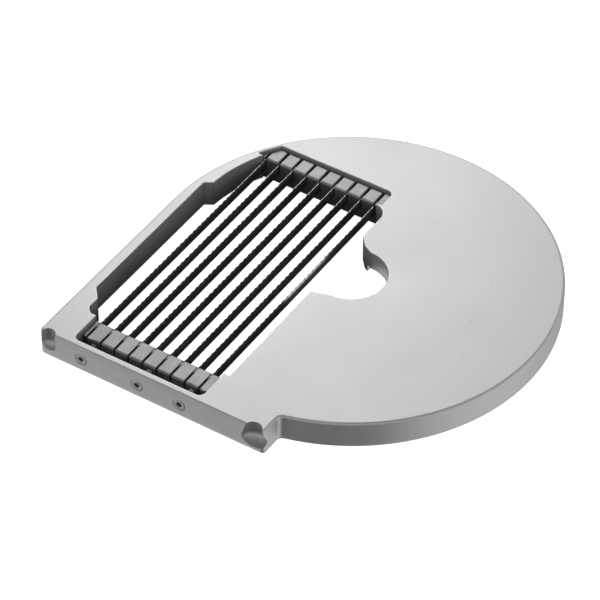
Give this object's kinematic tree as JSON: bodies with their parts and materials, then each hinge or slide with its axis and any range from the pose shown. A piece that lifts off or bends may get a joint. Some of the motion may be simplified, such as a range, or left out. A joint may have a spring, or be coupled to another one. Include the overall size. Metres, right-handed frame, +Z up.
{
  "type": "vegetable dicer grid disc",
  "caption": "Cast disc plate with a square front corner, a central shaft opening and a window of parallel tensioned blades that cut slices into sticks.",
  "frame": {"origin": "middle of the part's box, on the plate's underside; the round opening's centre lies 5.1 mm behind it on +Y", "axes": "+Z up from the underside to the face that the blades' cutting edges look out of; +X along the straight front face; +Y along the blades, from the tension screws to the rear comb"},
  "size_m": [0.205, 0.2152, 0.015],
  "materials": {
    "cast_aluminium": "satin, fine blasted casting",
    "milled_aluminium": "milled, matt",
    "blade_steel": "ground",
    "fastener_steel": "plain stainless"
  },
  "bodies": {
    "plate": {"cast_plate": "cast_aluminium", "rear_comb": "milled_aluminium", "rear_rod": "fastener_steel", "blade_1": "blade_steel", "blade_2": "blade_steel", "blade_3": "blade_steel", "blade_4": "blade_steel", "blade_5": "blade_steel", "blade_6": "blade_steel", "blade_7": "blade_steel", "blade_8": "blade_steel", "blade_9": "blade_steel"},
    "tension_bar": {"tension_bar": "milled_aluminium", "front_rod": "fastener_steel"},
    "tension_screw_1": {"tension_screw_1": "fastener_steel", "retaining_nut_1": "fastener_steel"},
    "tension_screw_2": {"tension_screw_2": "fastener_steel", "retaining_nut_2": "fastener_steel"},
    "tension_screw_3": {"tension_screw_3": "fastener_steel", "retaining_nut_3": "fastener_steel"}
  },
  "joints": [
    {"name": "bar_slide", "type": "slide", "parent": "plate", "child": "tension_bar", "axis": [0, 1, 0], "range_m": [0, 0.0014]},
    {"name": "screw_1_turn", "type": "hinge", "parent": "plate", "child": "tension_screw_1", "pos_m": [-0.07842, -0.1076, 0.0075], "axis": [0, -1, 0], "range_deg": [0, 720]},
    {"name": "screw_2_turn", "type": "hinge", "parent": "plate", "child": "tension_screw_2", "pos_m": [-0.04654, -0.1076, 0.0075], "axis": [0, -1, 0], "range_deg": [0, 720]},
    {"name": "screw_3_turn", "type": "hinge", "parent": "plate", "child": "tension_screw_3", "pos_m": [-0.02263, -0.1076, 0.0075], "axis": [0, -1, 0], "range_deg": [0, 720]}
  ],
  "couplings": [
    {"joint": "screw_1_turn", "follows": "bar_slide", "rad_per_m": 8975},
    {"joint": "screw_2_turn", "follows": "bar_slide", "rad_per_m": 8975},
    {"joint": "screw_3_turn", "follows": "bar_slide", "rad_per_m": 8975}
  ]
}
